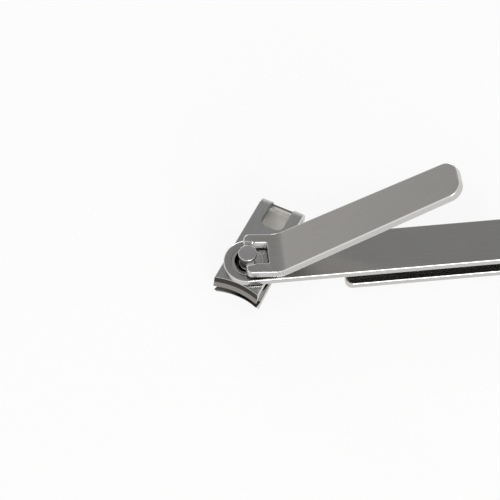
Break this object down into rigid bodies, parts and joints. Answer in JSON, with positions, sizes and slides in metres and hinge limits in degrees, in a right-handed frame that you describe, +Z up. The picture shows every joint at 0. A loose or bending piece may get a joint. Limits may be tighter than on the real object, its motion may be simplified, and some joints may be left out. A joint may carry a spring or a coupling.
{
  "type": "nail clipper",
  "caption": "Nail clipper with a jaw head that swivels under the round end of a folded strip handle, worked by a bent lever hooked in the notch of its pin.",
  "frame": {"origin": "on the swivel axis, at the flat underside of the pin's foot, the lowest point of the part", "axes": "+X along the handle towards its fold, +Z up along the pin towards its head, +Y to the left seen from behind the fold"},
  "size_m": [0.0746, 0.0292, 0.0394],
  "materials": {
    "handle_steel": "brushed along the strip, polished edges",
    "lever_steel": "brushed along the lever, polished edges",
    "jaw_steel": "satin, ground bevel at the cutting edges",
    "eyelet_steel": "turned and swaged, satin",
    "pin_steel": "turned, satin",
    "washer_steel": "plain rolled"
  },
  "bodies": {
    "handle": {"handle": "handle_steel"},
    "head": {"upper_jaw": "jaw_steel", "jaw_spring": "jaw_steel", "swivel_eyelet": "eyelet_steel", "friction_washer": "washer_steel"},
    "lower_jaw": {"lower_jaw": "jaw_steel"},
    "foot": {"foot_washer": "washer_steel"},
    "pin": {"pin": "pin_steel"},
    "lever": {"lever": "lever_steel"}
  },
  "joints": [
    {"name": "head_swivel", "type": "hinge", "parent": "handle", "child": "head", "pos_m": [0, 0, 0.01093], "axis": [0, 0, 1], "continuous": true},
    {"name": "jaw_close", "type": "hinge", "parent": "head", "child": "lower_jaw", "pos_m": [0.00943, 0.0151, 0.00633], "axis": [-0.848, 0.5299, 0], "range_deg": [0, 4.5]},
    {"name": "pin_rise", "type": "slide", "parent": "handle", "child": "foot", "axis": [0, 0, 1], "range_m": [0, 0.00139]},
    {"name": "lever_turn", "type": "hinge", "parent": "foot", "child": "pin", "pos_m": [0, 0, 0], "axis": [0, 0, 1], "continuous": true},
    {"name": "lever_press", "type": "hinge", "parent": "pin", "child": "lever", "pos_m": [0.00015, 0, 0.01237], "axis": [0, 1, 0], "range_deg": [0, 11.5], "stiffness_Nm_per_rad": 0.3}
  ],
  "couplings": [
    {"joint": "lever_press", "follows": "pin_rise", "rad_per_m": 143.9},
    {"joint": "jaw_close", "follows": "pin_rise", "rad_per_m": 56.1}
  ]
}
